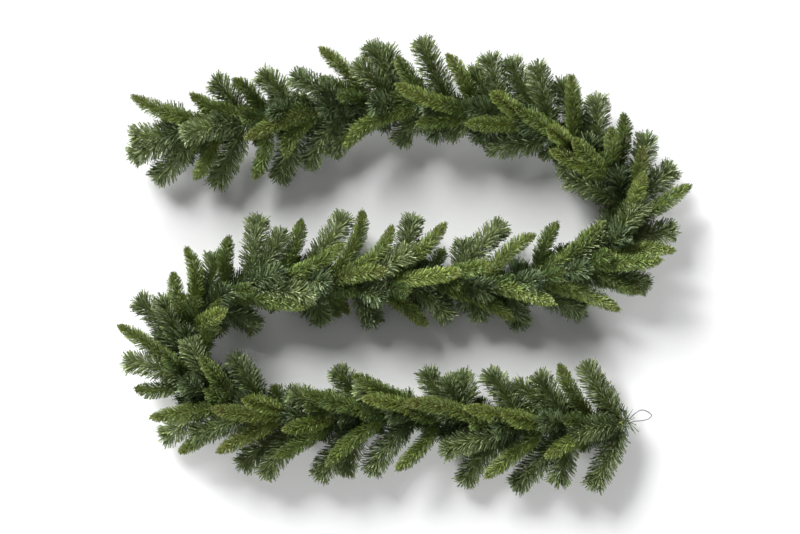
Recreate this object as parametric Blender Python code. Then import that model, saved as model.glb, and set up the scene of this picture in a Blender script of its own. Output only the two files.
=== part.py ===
"""Artificial conifer garland for a doorway, laid on a table in an S and seen from above.

A stiff core wire carries bunches of needle sprays at an even pitch, dark and pale by turns, and ends in a wire
loop to hang it by. Every spray leans back towards the garland's free end. +X runs to the right, +Y to the back
of the table and +Z up; the origin is at the bottom, in the middle of the whole garland's box.
"""

import math
import random
from collections import namedtuple

import bmesh
import bpy
import numpy as np
from mathutils import Matrix, Vector

# Core wire, in metres
WIRE_RADIUS = 0.002
WIRE_HEIGHT = 0.034
WIRE_WAVE = 0.004
WIRE_WAVE_LENGTH = 0.45
STRETCHES_PER_BUNCH = 2

# The wire's run over the table, placed by hand from the free end to the hanging loop
WIRE_RUN = (
    (-0.375, 0.235), (-0.260, 0.255), (-0.140, 0.275), (-0.020, 0.285), (0.105, 0.275),
    (0.210, 0.255), (0.300, 0.210), (0.365, 0.160), (0.395, 0.095), (0.370, 0.040),
    (0.290, -0.005), (0.175, -0.030), (0.050, -0.025), (-0.080, -0.030), (-0.200, -0.025),
    (-0.290, -0.040), (-0.355, -0.085), (-0.380, -0.150), (-0.350, -0.210), (-0.270, -0.245),
    (-0.140, -0.260), (0.000, -0.255), (0.140, -0.275), (0.280, -0.280), (0.400, -0.270),
)

# Collar: the turns of stem wire that hold a bunch on the core wire
COLLAR_LENGTH = 0.007
COLLAR_INSIDE = 0.0034
COLLAR_OUTSIDE = 0.0078
COLLAR_SIDES = 4
STEM_SEAT = 0.0052

# Sprays: slim three-sided stems that carry needles in whorls of six, on stretches twisted by half a side
STEM_SIDES = 3
WHORL_LENGTH = 0.0038
WHORL_TWIST = math.radians(60)
STEM_TWIST = math.radians(25)
LEAN_STAGGER = math.radians(13)
NEEDLE_LENGTHS = (0.9, 1.08)
BARE_STEM = 0.028
FEWEST_WHORLS = 3
MOST_WHORLS = 4
STEM_BEND = 0.45
BEND_RISE = 0.7
BEND_LIFT = 0.5
STEM_STEPS = 8
LOWEST_STEM = 0.004

# Spacing that keeps each bunch clear of its neighbours: how far a stem's tip may be lifted, in millimetres, and
# the share of its length and the swing round its stem, in degrees, that a needle tries in turn
STEM_CLEAR = 0.0012
NEEDLE_CLEAR = 0.0006
STEM_LIFTS = (0, 5, -5, 10, -10, 15, -15, 20, -20, 26, 32, 38)
NEEDLE_TRIES = ((1, 0), (1, 14), (1, -14), (1, 28), (1, -28), (0.75, 0), (0.75, 20), (0.75, -20), (0.5, 0))

# Hanging loop: thin wire bent to a teardrop beyond the garland's last bunch
LOOP_WIRE_RADIUS = 0.0009
LOOP_SIDES = 5
LOOP_COLLAR_OUTSIDE = 0.0068
LOOP_COLLAR_SETBACK = 0.0004
LOOP_SMOOTHING = 2

# The loop's outline from leg to leg: how far out from the core wire's end, and how far to its left
LOOP_OUTLINE = (
    (-0.0045, 0.0045), (0.0000, 0.0045), (0.0040, 0.0046), (0.0080, 0.0086), (0.0137, 0.0130), (0.0203, 0.0164),
    (0.0276, 0.0168), (0.0343, 0.0137), (0.0394, 0.0097), (0.0414, 0.0062), (0.0387, 0.0025), (0.0330, -0.0003),
    (0.0259, -0.0012), (0.0178, -0.0014), (0.0107, -0.0014), (0.0050, -0.0026), (0.0000, -0.0045), (-0.0045, -0.0045),
)

Kind = namedtuple("Kind", "stem needle spread end_spread whorl_gap overhang")
DARK = Kind(0.0022, 0.029, math.radians(52), math.radians(34), 0.0370, 0.020)
PALE = Kind(0.0025, 0.020, math.radians(48), math.radians(26), 0.0370, 0.014)

# The bunches in order from the free end, dark and pale by turns. Each spray is its lean off the line back to the
# free end (degrees, anticlockwise from above), its reach from the wire and the height of its tip (millimetres),
# and how far its outer end curls (degrees, anticlockwise).
BUNCHES = (
    ((14, 122, 35, 8), (40, 112, 20, -15), (-7, 112, 40, -8)),
    ((-30, 160, 65, -12), (55, 104, 35, -15)),
    ((55, 125, 20, -5), (-62, 95, 45, 20), (5, 110, 75, 10)),
    ((-28, 145, 60, -22), (-57, 95, 50, 15), (65, 114, 40, -15)),
    ((-57, 98, 30, 15), (65, 125, 20, -15)),
    ((16, 143, 85, 10), (50, 105, 60, 35)),
    ((50, 130, 25, 5), (-35, 110, 70, 5)),
    ((-50, 139, 40, 10), (-30, 108, 40, 0)),
    ((40, 150, 20, 25), (-61, 121, 35, 15), (-75, 108, 30, 5), (-42, 108, 45, 0)),
    ((-55, 100, 65, 5), (35, 160, 70, 32)),
    ((45, 110, 20, 40), (-60, 135, 45, 0)),
    ((-10, 150, 100, -10), (20, 110, 75, -5), (-55, 115, 60, 10)),
    ((35, 105, 20, 35), (-65, 115, 40, 5), (-45, 104, 35, 0)),
    ((23, 110, 85, 0), (-16, 85, 112, 10)),
    ((-35, 155, 30, -10), (38, 116, 25, -8), (-50, 130, 50, 5)),
    ((0, 120, 80, 10), (-57, 130, 65, 5), (0, 60, 116, 10)),
    ((-30, 160, 35, 0), (-55, 120, 40, 5), (48, 68, 30, 0)),
    ((30, 125, 75, 5), (10, 105, 95, 0), (-35, 95, 65, 0), (-45, 122, 50, 15)),
    ((51, 116, 40, 10), (-35, 130, 45, 10), (-70, 115, 30, 10)),
    ((10, 150, 60, 10), (5, 105, 100, 5), (-35, 145, 45, 0)),
    ((-25, 130, 30, -10), (40, 85, 30, 0), (15, 110, 65, 0)),
    ((-20, 160, 60, -15), (-25, 135, 85, 5), (-55, 115, 40, 10)),
    ((-28, 162, 25, -10), (26, 115, 50, 0)),
    ((-34, 160, 50, -10), (27, 160, 55, 10), (55, 110, 40, -15)),
    ((-30, 145, 25, -10), (-80, 85, 20, 10)),
    ((-15, 130, 75, -10), (45, 128, 60, -20)),
    ((-55, 80, 25, -20), (55, 135, 35, -15), (86, 82, 30, 5)),
    ((-25, 160, 35, -15), (15, 115, 98, -10)),
    ((-45, 105, 25, -15), (80, 120, 40, -10)),
    ((-45, 115, 35, 0), (5, 150, 80, 0), (40, 160, 60, 10)),
    ((-65, 85, 20, -5), (30, 120, 60, 0)),
    ((47, 153, 65, 35), (15, 110, 92, -10), (70, 145, 45, 25)),
    ((-65, 85, 20, -15), (60, 145, 30, 5)),
    ((-30, 140, 30, -40), (26, 139, 78, 14), (65, 122, 45, 15)),
    ((72, 126, 35, 0), (-20, 120, 60, 0), (48, 115, 45, 8)),
    ((60, 105, 50, -10), (-35, 150, 60, 0)),
    ((-65, 103, 25, -20), (-100, 58, 20, 0), (38, 103, 30, 5)),
    ((30, 145, 50, 30), (40, 105, 75, -10), (-38, 80, 95, 0)),
    ((40, 130, 30, 15), (20, 110, 48, 10)),
    ((-55, 150, 75, 0), (20, 160, 60, 5), (65, 105, 50, -25)),
    ((10, 165, 30, 20), (71, 122, 25, -10), (-40, 110, 50, 0)),
    ((25, 150, 80, 0), (57, 133, 45, -10), (-40, 105, 88, 5)),
    ((-50, 110, 45, 20), (30, 130, 60, 0)),
    ((35, 140, 65, 0), (0, 130, 90, -10), (-15, 80, 112, 10)),
    ((40, 160, 20, 10), (55, 140, 35, 8)),
    ((30, 135, 55, -10), (10, 100, 98, -5)),
    ((-20, 140, 60, -5), (-60, 98, 35, 12), (50, 145, 30, 0), (68, 118, 25, 5)),
    ((-15, 160, 78, -10), (-45, 95, 55, 20), (40, 145, 60, 10)),
    ((60, 135, 30, 10), (-20, 120, 60, 0)),
    ((-5, 145, 98, 10), (58, 123, 60, -10), (-15, 168, 75, 0)),
    ((-45, 122, 35, -15), (-75, 95, 40, 5), (-57, 92, 45, 0)),
    ((-10, 165, 80, 15),),
    ((-55, 115, 35, 20), (20, 145, 50, 5), (50, 145, 20, 20)),
    ((-15, 150, 90, 0), (40, 140, 55, 0), (-20, 85, 112, 5)),
    ((45, 150, 25, 0), (73, 108, 40, -5), (-60, 115, 40, 0), (-38, 128, 35, 10)),
    ((25, 110, 75, 0), (-65, 130, 60, -15)),
    ((-64, 126, 35, -10), (60, 132, 30, -5), (5, 95, 60, 0)),
)
SEED = 7

UP = Vector((0, 0, 1))
MM = 0.001

NO_OWNER = -1

Spray = namedtuple("Spray", "number bunch kind path")


def clear_scene():
    for obj in list(bpy.data.objects):
        bpy.data.objects.remove(obj)


def finish(name, colour, roughness, metallic):
    """A plain Principled material."""
    material = bpy.data.materials.new(name)
    material.use_nodes = True
    shader = material.node_tree.nodes["Principled BSDF"]
    shader.inputs["Base Color"].default_value = (*colour, 1)
    shader.inputs["Roughness"].default_value = roughness
    shader.inputs["Metallic"].default_value = metallic
    return material


def smooth_run(points, steps=16):
    """A Catmull-Rom curve through the points, with its ends carried straight on."""
    first = 2 * points[0] - points[1]
    last = 2 * points[-1] - points[-2]
    fixed = [first, *points, last]
    run = []
    for a, b, c, d in zip(fixed, fixed[1:], fixed[2:], fixed[3:]):
        for step in range(steps):
            t = step / steps
            run.append(
                0.5 * (2 * b + (c - a) * t + (2 * a - 5 * b + 4 * c - d) * t**2 + (3 * b - a - 3 * c + d) * t**3)
            )
    return [*run, points[-1]]


def distances(points):
    """How far along a run of points each one is."""
    return np.concatenate([[0], np.cumsum([(b - a).length for a, b in zip(points, points[1:])])])


def read_run(points, marks, distance):
    return Vector([np.interp(distance, marks, [point[axis] for point in points]) for axis in range(3)])


class Wire:
    """The core wire's centre line: short straight stretches, with a bunch in the middle of every second one."""

    def __init__(self):
        smooth = smooth_run([Vector((x, y, 0)) for x, y in WIRE_RUN])
        marks = distances(smooth)
        stretches = STRETCHES_PER_BUNCH * (len(BUNCHES) - 1) + 1
        self.points = []
        for number in range(stretches + 1):
            distance = marks[-1] * number / stretches
            point = read_run(smooth, marks, distance)
            point.z = WIRE_HEIGHT + WIRE_WAVE * math.sin(2 * math.pi * distance / WIRE_WAVE_LENGTH)
            self.points.append(point)
        self.marks = distances(self.points)
        self.length = float(self.marks[-1])
        middles = (self.marks[1:] + self.marks[:-1]) / 2
        self.bunch_places = [float(middle) for middle in middles[::STRETCHES_PER_BUNCH]]

    def at(self, distance):
        return read_run(self.points, self.marks, distance)

    def along(self, distance):
        """The direction towards the hanging loop."""
        after = min(max(int(np.searchsorted(self.marks, distance)), 1), len(self.points) - 1)
        return (self.points[after] - self.points[after - 1]).normalized()


class Obstacles:
    """Straight tapered pieces that a new one must keep clear of, each tagged with its bunch and its spray."""

    def __init__(self):
        self.rows = []
        self.table = None

    def add(self, bunch, spray, start, end, start_radius, end_radius):
        self.rows.append((bunch, spray, *start, *end, start_radius, end_radius))
        self.table = None

    def gap(self, start, end, start_radius, end_radius, bunch=None, spray=None):
        """The narrowest gap from a piece to all others but those of its own bunch or spray."""
        if self.table is None:
            self.table = np.array(self.rows)
        own = self.table[:, 0] == bunch if spray is None else self.table[:, 1] == spray
        rows = self.table[~own, 2:]
        here, there = np.array(start), rows[:, 0:3]
        run, runs = np.array(end) - here, rows[:, 3:6] - there
        apart = here - there
        a, e = run @ run, (runs * runs).sum(1)
        b, c, f = runs @ run, apart @ run, (runs * apart).sum(1)
        slack = np.maximum(a * e - b * b, 1e-15)
        s = np.clip((b * f - c * e) / slack, 0, 1)
        t = np.clip((b * s + f) / e, 0, 1)
        s = np.clip((b * t - c) / a, 0, 1)
        distance = np.linalg.norm(apart + s[:, None] * run - t[:, None] * runs, axis=1)
        radius = start_radius + (end_radius - start_radius) * s
        radii = rows[:, 6] + (rows[:, 7] - rows[:, 6]) * t
        return float((distance - radius - radii).min())


def stem_path(wire, place, kind, spray, lift):
    """A stem's centre line: out of the collar, then round to the spray's own direction."""
    lean, reach, height, curl = spray
    root = wire.at(place)
    along = wire.along(place)
    bearing = math.atan2(-along.y, -along.x) + math.radians(lean)
    heading = bearing + math.radians(curl)
    tip = Vector((root.x, root.y, 0)) + reach * MM * Vector((math.cos(bearing), math.sin(bearing), 0))
    tip.z = max(height * MM + lift * MM, LOWEST_STEM)
    bend = tip - STEM_BEND * reach * MM * Vector((math.cos(heading), math.sin(heading), 0))
    bend.z = root.z + BEND_RISE * (tip.z - root.z) + BEND_LIFT * lift * MM
    end = tip - kind.overhang * (tip - bend).normalized()
    end.z = max(end.z, LOWEST_STEM)
    out = bend - root
    seat = root + STEM_SEAT * (out - along * out.dot(along)).normalized()
    path = []
    for step in range(STEM_STEPS + 1):
        t = step / STEM_STEPS
        point = seat.lerp(bend, t).lerp(bend.lerp(end, t), t)
        point.z = max(point.z, LOWEST_STEM)
        path.append(point)
    return path


def leader(kind, path):
    """The point of the needle that carries a stem's end straight on."""
    return path[-1] + kind.overhang * (path[-1] - path[-2]).normalized()


def path_gap(obstacles, bunch, kind, path):
    """The narrowest gap along a stem, apart from its first step, which is in its own collar."""
    gaps = [obstacles.gap(a, b, kind.stem, kind.stem, bunch=bunch) for a, b in zip(path[1:], path[2:])]
    return min(*gaps, obstacles.gap(path[-1], leader(kind, path), kind.stem, 0, bunch=bunch))


def lay_out(wire, obstacles):
    """Every spray's stem, each lifted or lowered until it clears the stems laid before it."""
    places = wire.bunch_places
    for a, b in zip(wire.points, wire.points[1:]):
        obstacles.add(NO_OWNER, NO_OWNER, a, b, WIRE_RADIUS, WIRE_RADIUS)
    for number, place in enumerate(places):
        half = wire.along(place) * COLLAR_LENGTH / 2
        centre = wire.at(place)
        obstacles.add(number, NO_OWNER, centre - half, centre + half, COLLAR_OUTSIDE, COLLAR_OUTSIDE)
    sprays = []
    for number, place in enumerate(places):
        kind = PALE if number % 2 else DARK
        for spray in BUNCHES[number]:
            paths = [stem_path(wire, place, kind, spray, lift) for lift in STEM_LIFTS]
            gaps = [path_gap(obstacles, number, kind, path) for path in paths]
            clear = [path for path, gap in zip(paths, gaps) if gap >= STEM_CLEAR]
            path = clear[0] if clear else paths[gaps.index(max(gaps))]
            for a, b in zip(path, path[1:]):
                obstacles.add(number, len(sprays), a, b, kind.stem, kind.stem)
            obstacles.add(number, len(sprays), path[-1], leader(kind, path), kind.stem, 0)
            sprays.append(Spray(len(sprays), number, kind, path))
    return sprays


def walk(path, distance):
    """The point and direction at a distance along a path of points."""
    for a, b in zip(path, path[1:]):
        step = (b - a).length
        if distance <= step:
            return a.lerp(b, distance / step), (b - a).normalized()
        distance -= step
    return path[-1], (path[-1] - path[-2]).normalized()


def ring(centre, along, angle, radius, sides):
    side = along.cross(UP).normalized()
    top = side.cross(along)
    turns = [angle + 2 * math.pi * k / sides for k in range(sides)]
    return [centre + radius * (math.cos(turn) * side + math.sin(turn) * top) for turn in turns]


def sweep(mesh, rings):
    """A closed tube, its end face extruded from ring to ring. Returns each stretch's walls, in triangles, and the end."""
    end = mesh.faces.new([mesh.verts.new(point) for point in rings[0]])
    stretches = []
    for before, after in zip(rings, rings[1:]):
        grown = bmesh.ops.extrude_face_region(mesh, geom=[end])["geom"]
        if stretches:
            mesh.faces.remove(end)
        end = next(item for item in grown if isinstance(item, bmesh.types.BMFace))
        for vert in end.verts:
            nearest = min(range(len(before)), key=lambda k: (vert.co - before[k]).length)
            vert.co = after[nearest]
        walls = {face for vert in end.verts for face in vert.link_faces} - {end}
        stretches.append(bmesh.ops.triangulate(mesh, faces=list(walls), quad_method="SHORT_EDGE")["faces"])
    return stretches, end


def needle_tip(root, outward, along, length, spread, spray, obstacles):
    """Where a needle's point can go without crossing another spray, or None."""
    for share, turn in NEEDLE_TRIES:
        swung = Matrix.Rotation(math.radians(turn), 3, along) @ outward
        tip = root + share * length * (math.sin(spread) * swung + math.cos(spread) * along)
        tip.z = max(tip.z, 0)
        if obstacles.gap(root, tip, WHORL_LENGTH / 2, 0, spray=spray.number) >= NEEDLE_CLEAR:
            obstacles.add(spray.bunch, spray.number, root, tip, WHORL_LENGTH / 2, 0)
            return tip
    return None


def grow_spray(spray, obstacles, draw):
    """One stem with its whorls: each small facet round a whorl is drawn out to a needle."""
    kind, path = spray.kind, spray.path
    length = sum((b - a).length for a, b in zip(path, path[1:]))
    whorls = round((length - BARE_STEM) / kind.whorl_gap) + 1
    whorls = min(max(whorls, FEWEST_WHORLS), MOST_WHORLS)
    pitch = (length - WHORL_LENGTH - BARE_STEM) / (whorls - 1)
    marks = [BARE_STEM + pitch * number for number in range(whorls)]
    angle = draw.uniform(0, 2 * math.pi)
    rings = [ring(*walk(path, 0), angle, kind.stem, STEM_SIDES)]
    for mark in marks:
        rings.append(ring(*walk(path, mark), angle, kind.stem, STEM_SIDES))
        angle += WHORL_TWIST
        rings.append(ring(*walk(path, mark + WHORL_LENGTH), angle, kind.stem, STEM_SIDES))
        angle += STEM_TWIST
    mesh = bmesh.new()
    stretches, end = sweep(mesh, rings)
    for number, mark in enumerate(marks):
        share = number / (whorls - 1)
        centre, along = walk(path, mark + WHORL_LENGTH / 2)
        spread = kind.spread + (kind.end_spread - kind.spread) * share**2
        for face in stretches[2 * number + 1]:
            middle = face.calc_center_median()
            behind = (middle - centre).dot(along) < 0
            outward = (middle - centre - (middle - centre).dot(along) * along).normalized()
            lean = spread + (LEAN_STAGGER if behind else -LEAN_STAGGER)
            needle = kind.needle * draw.uniform(*NEEDLE_LENGTHS)
            tip = needle_tip(middle, outward, along, needle, lean, spray, obstacles)
            if tip:
                bmesh.ops.poke(mesh, faces=[face])["verts"][0].co = tip
    bmesh.ops.poke(mesh, faces=[end])["verts"][0].co = leader(kind, path)
    bmesh.ops.triangulate(mesh, faces=mesh.faces[:])
    bmesh.ops.recalc_face_normals(mesh, faces=mesh.faces[:])
    return mesh


def collar(wire, place, outside):
    """A square ring round the core wire, spun from its section."""
    along = wire.along(place)
    centre = wire.at(place)
    side = along.cross(UP).normalized()
    mesh = bmesh.new()
    section = [
        centre + side * radius + along * step * COLLAR_LENGTH / 2
        for radius, step in ((COLLAR_INSIDE, -1), (outside, -1), (outside, 1), (COLLAR_INSIDE, 1))
    ]
    corners = [mesh.verts.new(point) for point in section]
    edges = [mesh.edges.new((a, b)) for a, b in zip(corners, corners[1:] + corners[:1])]
    bmesh.ops.spin(
        mesh, geom=edges, cent=centre, axis=along, angle=2 * math.pi, steps=COLLAR_SIDES, use_merge=True
    )
    bmesh.ops.recalc_face_normals(mesh, faces=mesh.faces[:])
    return mesh


def as_object(name, mesh, material):
    data = bpy.data.meshes.new(name)
    mesh.to_mesh(data)
    mesh.free()
    data.materials.append(material)
    obj = bpy.data.objects.new(name, data)
    bpy.context.scene.collection.objects.link(obj)
    return obj


def outer_shell(data):
    """Keeps the largest of a mesh's separate shells, which fills any hollow that fusing sealed."""
    mesh = bmesh.new()
    mesh.from_mesh(data)
    left = set(mesh.faces)
    shells = []
    while left:
        shell, edge = set(), [left.pop()]
        while edge:
            face = edge.pop()
            shell.add(face)
            beside = {other for line in face.edges for other in line.link_faces} & left
            left -= beside
            edge.extend(beside)
        shells.append(shell)
    shells.sort(key=len)
    scrap = [face for shell in shells[:-1] for face in shell]
    bmesh.ops.delete(mesh, geom=scrap, context="FACES")
    mesh.to_mesh(data)
    mesh.free()


def fuse(name, meshes, material):
    """One body from a collar or wire and what grows from it."""
    pieces = [as_object(f"{name}_piece", mesh, material) for mesh in meshes]
    body, others = pieces[0], pieces[1:]
    group = bpy.data.collections.new(name)
    bpy.context.scene.collection.children.link(group)
    for piece in others:
        bpy.context.scene.collection.objects.unlink(piece)
        group.objects.link(piece)
    join = body.modifiers.new("Fuse", "BOOLEAN")
    join.operation = "UNION"
    join.operand_type = "COLLECTION"
    join.collection = group
    join.solver = "MANIFOLD"
    fused = bpy.data.meshes.new_from_object(body.evaluated_get(bpy.context.evaluated_depsgraph_get()))
    body.modifiers.clear()
    body.data = fused
    for piece in others:
        bpy.data.objects.remove(piece)
    bpy.data.collections.remove(group)
    outer_shell(fused)
    body.name = name
    fused.name = name
    return body


def build_core_wire(wire, material):
    curve = bpy.data.curves.new("core_wire", "CURVE")
    curve.dimensions = "3D"
    curve.bevel_depth = WIRE_RADIUS
    curve.bevel_resolution = 0
    curve.use_fill_caps = True
    spline = curve.splines.new("POLY")
    spline.points.add(len(wire.points) - 1)
    for point, place in zip(spline.points, wire.points):
        point.co = (*place, 1)
    curve.materials.append(material)
    obj = bpy.data.objects.new("core_wire", curve)
    bpy.context.scene.collection.objects.link(obj)
    return obj


def build_hanging_loop(wire, material):
    """Thin wire bent to a teardrop, both its legs sunk in a small collar at the core wire's end."""
    place = wire.length - COLLAR_LENGTH / 2 - LOOP_COLLAR_SETBACK
    along = wire.along(place)
    left = UP.cross(along).normalized()
    end = wire.at(wire.length)
    path = smooth_run([end + along * out + left * aside for out, aside in LOOP_OUTLINE], LOOP_SMOOTHING)
    mesh = bmesh.new()
    ahead = path[1:] + path[-1:]
    behind = path[:1] + path[:-1]
    sweep(mesh, [
        ring(point, (b - a).normalized(), 0, LOOP_WIRE_RADIUS, LOOP_SIDES)
        for a, point, b in zip(behind, path, ahead)
    ])
    bmesh.ops.recalc_face_normals(mesh, faces=mesh.faces[:])
    return fuse("hanging_loop", [collar(wire, place, LOOP_COLLAR_OUTSIDE), mesh], material)


def build_bunches(wire, materials):
    draw = random.Random(SEED)
    obstacles = Obstacles()
    sprays = lay_out(wire, obstacles)
    made = []
    for number, place in enumerate(wire.bunch_places):
        colour = "pale" if number % 2 else "dark"
        name = f"{colour}_bunch_{number // 2 + 1:02d}"
        meshes = [collar(wire, place, COLLAR_OUTSIDE)]
        for spray in sprays:
            if spray.bunch == number:
                meshes.append(grow_spray(spray, obstacles, draw))
        made.append(fuse(name, meshes, materials[colour]))
    return made


def centre_on_origin(objects):
    """Moves every piece so that the origin is at the bottom, in the middle of the garland's box."""
    bpy.context.view_layer.update()
    corners = [obj.matrix_world @ Vector(corner) for obj in objects for corner in obj.bound_box]
    lows = [min(corner[axis] for corner in corners) for axis in range(3)]
    highs = [max(corner[axis] for corner in corners) for axis in range(3)]
    middle = Vector(((lows[0] + highs[0]) / 2, (lows[1] + highs[1]) / 2, lows[2]))
    for obj in objects:
        obj.location -= middle


def main():
    clear_scene()
    wire = Wire()
    steel = finish("wire", (0.16, 0.17, 0.16), 0.5, 0.9)
    materials = {
        "dark": finish("dark_needles", (0.045, 0.085, 0.035), 0.55, 0),
        "pale": finish("pale_needles", (0.15, 0.24, 0.05), 0.5, 0),
    }
    objects = build_bunches(wire, materials)
    objects.append(build_core_wire(wire, steel))
    objects.append(build_hanging_loop(wire, steel))
    centre_on_origin(objects)


main()
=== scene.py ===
"""Door garland, laid on a table in an S and seen from straight above.

Bunches of soft needle sprays, dark and pale by turns, are bound to a core of two twisted wires
that has short needles of its own, and a wire loop at one end hangs it up. Each bunch grows from
its collar in the frame, and each spray follows the stem that it has there. +X runs to the right,
+Y to the back of the table and +Z up.
"""

import functools
import math
from collections import namedtuple

import bmesh
import bpy
import numpy as np
from bpy.props import FloatProperty, FloatVectorProperty, PointerProperty
from bpy.types import Operator, Panel, PropertyGroup
from mathutils import Matrix, Vector


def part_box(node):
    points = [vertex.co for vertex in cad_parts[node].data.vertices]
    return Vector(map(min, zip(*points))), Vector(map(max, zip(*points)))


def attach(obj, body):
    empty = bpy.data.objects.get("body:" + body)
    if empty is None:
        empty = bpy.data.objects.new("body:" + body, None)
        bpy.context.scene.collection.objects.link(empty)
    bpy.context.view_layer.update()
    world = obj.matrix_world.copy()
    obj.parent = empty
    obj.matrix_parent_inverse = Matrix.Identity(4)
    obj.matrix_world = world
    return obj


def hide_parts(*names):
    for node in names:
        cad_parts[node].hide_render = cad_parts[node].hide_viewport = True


bl_info = {
    "name": "Door garland",
    "version": (1, 0, 0),
    "blender": (4, 5, 0),
    "location": "3D View > Sidebar > Garland",
    "description": "Needle sprays, core wire and hanging loop of an artificial conifer garland",
    "category": "Object",
}

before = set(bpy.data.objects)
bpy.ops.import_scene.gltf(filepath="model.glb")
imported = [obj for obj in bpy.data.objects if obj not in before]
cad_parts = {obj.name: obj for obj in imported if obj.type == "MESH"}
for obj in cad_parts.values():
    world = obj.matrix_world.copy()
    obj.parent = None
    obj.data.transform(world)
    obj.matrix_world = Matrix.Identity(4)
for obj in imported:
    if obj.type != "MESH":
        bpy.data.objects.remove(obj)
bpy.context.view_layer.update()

# Core wire, in metres: its run over the table from the free end to the hanging loop
WIRE_RADIUS = 0.002
WIRE_HEIGHT = 0.034
WIRE_WAVE = 0.004
WIRE_WAVE_LENGTH = 0.45
STRETCHES_PER_BUNCH = 2
WIRE_RUN = (
    (-0.375, 0.235), (-0.260, 0.255), (-0.140, 0.275), (-0.020, 0.285), (0.105, 0.275),
    (0.210, 0.255), (0.300, 0.210), (0.365, 0.160), (0.395, 0.095), (0.370, 0.040),
    (0.290, -0.005), (0.175, -0.030), (0.050, -0.025), (-0.080, -0.030), (-0.200, -0.025),
    (-0.290, -0.040), (-0.355, -0.085), (-0.380, -0.150), (-0.350, -0.210), (-0.270, -0.245),
    (-0.140, -0.260), (0.000, -0.255), (0.140, -0.275), (0.280, -0.280), (0.400, -0.270),
)

# Stems, as they grow in the frame
COLLAR_LENGTH = 0.007
COLLAR_OUTSIDE = 0.0078
STEM_SEAT = 0.0052
STEM_BEND = 0.45
BEND_RISE = 0.7
BEND_LIFT = 0.5
STEM_STEPS = 8
LOWEST_STEM = 0.004
STEM_CLEAR = 0.0012
STEM_LIFTS = (0, 5, -5, 10, -10, 15, -15, 20, -20, 26, 32, 38)

# The two kinds of spray, each with its stem's radius and how far its leading needle carries the
# stem on
Kind = namedtuple("Kind", "name stem overhang")
DARK = Kind("dark", 0.0022, 0.020)
PALE = Kind("pale", 0.0025, 0.014)

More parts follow.
